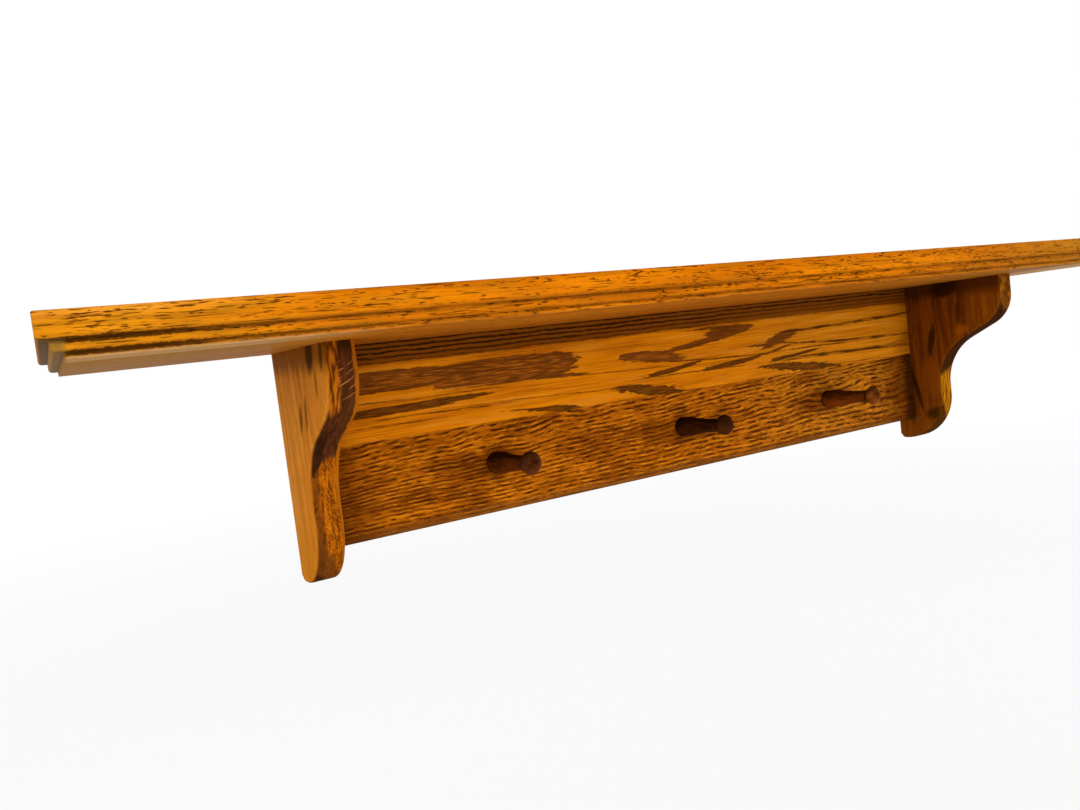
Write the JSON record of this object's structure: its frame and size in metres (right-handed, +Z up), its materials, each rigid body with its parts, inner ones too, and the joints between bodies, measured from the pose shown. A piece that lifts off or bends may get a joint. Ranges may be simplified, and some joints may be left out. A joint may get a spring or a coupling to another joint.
{
  "type": "wall shelf with peg rail",
  "caption": "Oak wall shelf with a stepped moulded edge on S-curved brackets, and a back rail of turned Shaker pegs between them.",
  "frame": {"origin": "on the wall plane, at the back of the rail, midway between the entry holes of the two keyhole plates", "axes": "+X along the shelf to the right as seen from the room, +Y into the wall, +Z up"},
  "size_m": [0.9144, 0.2032, 0.1729],
  "materials": {
    "golden_oak": "golden oak stain under gloss varnish",
    "dark_peg": "turned hardwood, stained darker, gloss varnish",
    "beech": "plain beech dowel",
    "zinc_steel": "zinc plated"
  },
  "bodies": {
    "root": {"shelf_board": "golden_oak", "left_bracket": "golden_oak", "right_bracket": "golden_oak", "peg_rail": "golden_oak", "left_peg": "dark_peg", "centre_peg": "dark_peg", "right_peg": "dark_peg", "shelf_dowels": "beech", "rail_dowels": "beech", "left_hanger_plate": "zinc_steel", "right_hanger_plate": "zinc_steel", "hanger_screws": "zinc_steel"}
  },
  "joints": []
}
